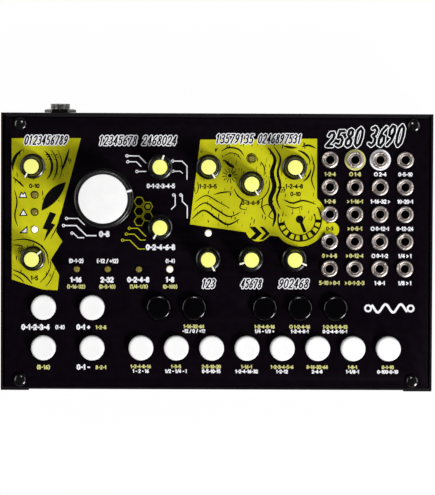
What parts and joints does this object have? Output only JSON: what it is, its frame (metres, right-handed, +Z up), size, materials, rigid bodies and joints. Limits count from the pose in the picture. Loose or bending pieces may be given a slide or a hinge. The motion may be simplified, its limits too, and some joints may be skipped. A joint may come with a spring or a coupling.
{
  "type": "eurorack synthesiser module",
  "caption": "Desktop synthesiser module: a 3U panel with knobs, round keys, lamps and patch sockets, set flush in a folded sheet case on rubber feet, with an output socket at the rear.",
  "frame": {"origin": "middle of the footprint box on the surface that the feet stand on, with the rear socket and the front laps inside the box", "axes": "+X to the right along the keys, +Y to the rear where the output socket leaves, +Z up out of the panel"},
  "size_m": [0.2066, 0.1374, 0.0556],
  "materials": {
    "case_black": "satin black powder coat",
    "panel_black": "satin black paint with printed graphics",
    "screw_black": "black oxide",
    "foot_rubber": "matt rubber",
    "board_green": "circuit board with solder mask",
    "socket_nickel": "nickel plate",
    "black_moulding": "moulded black plastic",
    "spacer_brass": "bare brass",
    "cap_yellow": "bright yellow-green moulding",
    "button_white": "white moulding",
    "knob_black": "satin black moulding",
    "button_black": "black moulding"
  },
  "bodies": {
    "root": {"case": "case_black", "front_panel": "panel_black", "panel_screw_1": "screw_black", "panel_screw_2": "screw_black", "panel_screw_3": "screw_black", "panel_screw_4": "screw_black", "foot_1": "foot_rubber", "foot_2": "foot_rubber", "foot_3": "foot_rubber", "foot_4": "foot_rubber", "control_board": "board_green", "jack_board": "socket_nickel", "main_board": "board_green", "board_spacer_1": "spacer_brass", "board_spacer_2": "spacer_brass", "board_spacer_3": "spacer_brass", "board_spacer_4": "spacer_brass", "board_link": "black_moulding", "output_jack": "black_moulding", "output_jack_nut": "screw_black", "power_inlet": "black_moulding"},
    "knob_01": {"small_knob_01": "knob_black", "small_knob_cap_01": "cap_yellow"},
    "knob_02": {"small_knob_02": "knob_black", "small_knob_cap_02": "cap_yellow"},
    "knob_03": {"small_knob_03": "knob_black", "small_knob_cap_03": "cap_yellow"},
    "knob_04": {"small_knob_04": "knob_black", "small_knob_cap_04": "cap_yellow"},
    "knob_05": {"small_knob_05": "knob_black", "small_knob_cap_05": "cap_yellow"},
    "knob_06": {"small_knob_06": "knob_black", "small_knob_cap_06": "cap_yellow"},
    "knob_07": {"small_knob_07": "knob_black", "small_knob_cap_07": "cap_yellow"},
    "knob_08": {"small_knob_08": "knob_black", "small_knob_cap_08": "cap_yellow"},
    "knob_09": {"small_knob_09": "knob_black", "small_knob_cap_09": "cap_yellow"},
    "knob_10": {"small_knob_10": "knob_black", "small_knob_cap_10": "cap_yellow"},
    "knob_large": {"large_knob": "knob_black", "large_knob_cap": "button_white"},
    "white_key_1_body": {"white_key_1": "button_white"},
    "white_key_2_body": {"white_key_2": "button_white"},
    "white_key_3_body": {"white_key_3": "button_white"},
    "white_key_4_body": {"white_key_4": "button_white"},
    "white_key_5_body": {"white_key_5": "button_white"},
    "white_key_6_body": {"white_key_6": "button_white"},
    "white_key_7_body": {"white_key_7": "button_white"},
    "white_key_8_body": {"white_key_8": "button_white"},
    "black_key_1_body": {"black_key_1": "button_black"},
    "black_key_2_body": {"black_key_2": "button_black"},
    "black_key_3_body": {"black_key_3": "button_black"},
    "black_key_4_body": {"black_key_4": "button_black"},
    "black_key_5_body": {"black_key_5": "button_black"},
    "function_button_1_body": {"function_button_1": "button_white"},
    "function_button_2_body": {"function_button_2": "button_white"},
    "function_button_3_body": {"function_button_3": "button_white"},
    "function_button_4_body": {"function_button_4": "button_white"}
  },
  "joints": [
    {"name": "knob_01_turn", "type": "hinge", "parent": "root", "child": "knob_01", "pos_m": [-0.08806, 0.03859, 0.0405], "axis": [0, 0, -1], "range_deg": [0, 300]},
    {"name": "knob_02_turn", "type": "hinge", "parent": "root", "child": "knob_02", "pos_m": [-0.08786, -0.00548, 0.0405], "axis": [0, 0, -1], "range_deg": [-199, 101]},
    {"name": "knob_03_turn", "type": "hinge", "parent": "root", "child": "knob_03", "pos_m": [-0.02719, 0.03847, 0.0405], "axis": [0, 0, -1], "range_deg": [-168, 132]},
    {"name": "knob_04_turn", "type": "hinge", "parent": "root", "child": "knob_04", "pos_m": [-0.02709, 0.00975, 0.0405], "axis": [0, 0, -1], "range_deg": [0, 300]},
    {"name": "knob_05_turn", "type": "hinge", "parent": "root", "child": "knob_05", "pos_m": [-0.00412, 0.03859, 0.0405], "axis": [0, 0, -1], "range_deg": [-300, 0]},
    {"name": "knob_06_turn", "type": "hinge", "parent": "root", "child": "knob_06", "pos_m": [0.01639, 0.03063, 0.0405], "axis": [0, 0, -1], "range_deg": [-300, 0]},
    {"name": "knob_07_turn", "type": "hinge", "parent": "root", "child": "knob_07", "pos_m": [0.03693, 0.03859, 0.0405], "axis": [0, 0, -1], "range_deg": [-300, 0]},
    {"name": "knob_08_turn", "type": "hinge", "parent": "root", "child": "knob_08", "pos_m": [-0.00412, -0.00535, 0.0405], "axis": [0, 0, -1], "range_deg": [-300, 0]},
    {"name": "knob_09_turn", "type": "hinge", "parent": "root", "child": "knob_09", "pos_m": [0.01639, -0.00535, 0.0405], "axis": [0, 0, -1], "range_deg": [-40, 260]},
    {"name": "knob_10_turn", "type": "hinge", "parent": "root", "child": "knob_10", "pos_m": [0.03703, -0.00535, 0.0405], "axis": [0, 0, -1], "range_deg": [-264, 36]},
    {"name": "knob_large_turn", "type": "hinge", "parent": "root", "child": "knob_large", "pos_m": [-0.05407, 0.02337, 0.0405], "axis": [0, 0, -1], "range_deg": [-223, 77]},
    {"name": "white_key_1_press", "type": "slide", "parent": "root", "child": "white_key_1_body", "axis": [0, 0, -1], "range_m": [0, 0.001], "stiffness_N_per_m": 400, "springref_m": -0.0005},
    {"name": "white_key_2_press", "type": "slide", "parent": "root", "child": "white_key_2_body", "axis": [0, 0, -1], "range_m": [0, 0.001], "stiffness_N_per_m": 400, "springref_m": -0.0005},
    {"name": "white_key_3_press", "type": "slide", "parent": "root", "child": "white_key_3_body", "axis": [0, 0, -1], "range_m": [0, 0.001], "stiffness_N_per_m": 400, "springref_m": -0.0005},
    {"name": "white_key_4_press", "type": "slide", "parent": "root", "child": "white_key_4_body", "axis": [0, 0, -1], "range_m": [0, 0.001], "stiffness_N_per_m": 400, "springref_m": -0.0005},
    {"name": "white_key_5_press", "type": "slide", "parent": "root", "child": "white_key_5_body", "axis": [0, 0, -1], "range_m": [0, 0.001], "stiffness_N_per_m": 400, "springref_m": -0.0005},
    {"name": "white_key_6_press", "type": "slide", "parent": "root", "child": "white_key_6_body", "axis": [0, 0, -1], "range_m": [0, 0.001], "stiffness_N_per_m": 400, "springref_m": -0.0005},
    {"name": "white_key_7_press", "type": "slide", "parent": "root", "child": "white_key_7_body", "axis": [0, 0, -1], "range_m": [0, 0.001], "stiffness_N_per_m": 400, "springref_m": -0.0005},
    {"name": "white_key_8_press", "type": "slide", "parent": "root", "child": "white_key_8_body", "axis": [0, 0, -1], "range_m": [0, 0.001], "stiffness_N_per_m": 400, "springref_m": -0.0005},
    {"name": "black_key_1_press", "type": "slide", "parent": "root", "child": "black_key_1_body", "axis": [0, 0, -1], "range_m": [0, 0.001], "stiffness_N_per_m": 400, "springref_m": -0.0005},
    {"name": "black_key_2_press", "type": "slide", "parent": "root", "child": "black_key_2_body", "axis": [0, 0, -1], "range_m": [0, 0.001], "stiffness_N_per_m": 400, "springref_m": -0.0005},
    {"name": "black_key_3_press", "type": "slide", "parent": "root", "child": "black_key_3_body", "axis": [0, 0, -1], "range_m": [0, 0.001], "stiffness_N_per_m": 400, "springref_m": -0.0005},
    {"name": "black_key_4_press", "type": "slide", "parent": "root", "child": "black_key_4_body", "axis": [0, 0, -1], "range_m": [0, 0.001], "stiffness_N_per_m": 400, "springref_m": -0.0005},
    {"name": "black_key_5_press", "type": "slide", "parent": "root", "child": "black_key_5_body", "axis": [0, 0, -1], "range_m": [0, 0.001], "stiffness_N_per_m": 400, "springref_m": -0.0005},
    {"name": "function_button_1_press", "type": "slide", "parent": "root", "child": "function_button_1_body", "axis": [0, 0, -1], "range_m": [0, 0.001], "stiffness_N_per_m": 400, "springref_m": -0.0005},
    {"name": "function_button_2_press", "type": "slide", "parent": "root", "child": "function_button_2_body", "axis": [0, 0, -1], "range_m": [0, 0.001], "stiffness_N_per_m": 400, "springref_m": -0.0005},
    {"name": "function_button_3_press", "type": "slide", "parent": "root", "child": "function_button_3_body", "axis": [0, 0, -1], "range_m": [0, 0.001], "stiffness_N_per_m": 400, "springref_m": -0.0005},
    {"name": "function_button_4_press", "type": "slide", "parent": "root", "child": "function_button_4_body", "axis": [0, 0, -1], "range_m": [0, 0.001], "stiffness_N_per_m": 400, "springref_m": -0.0005}
  ]
}
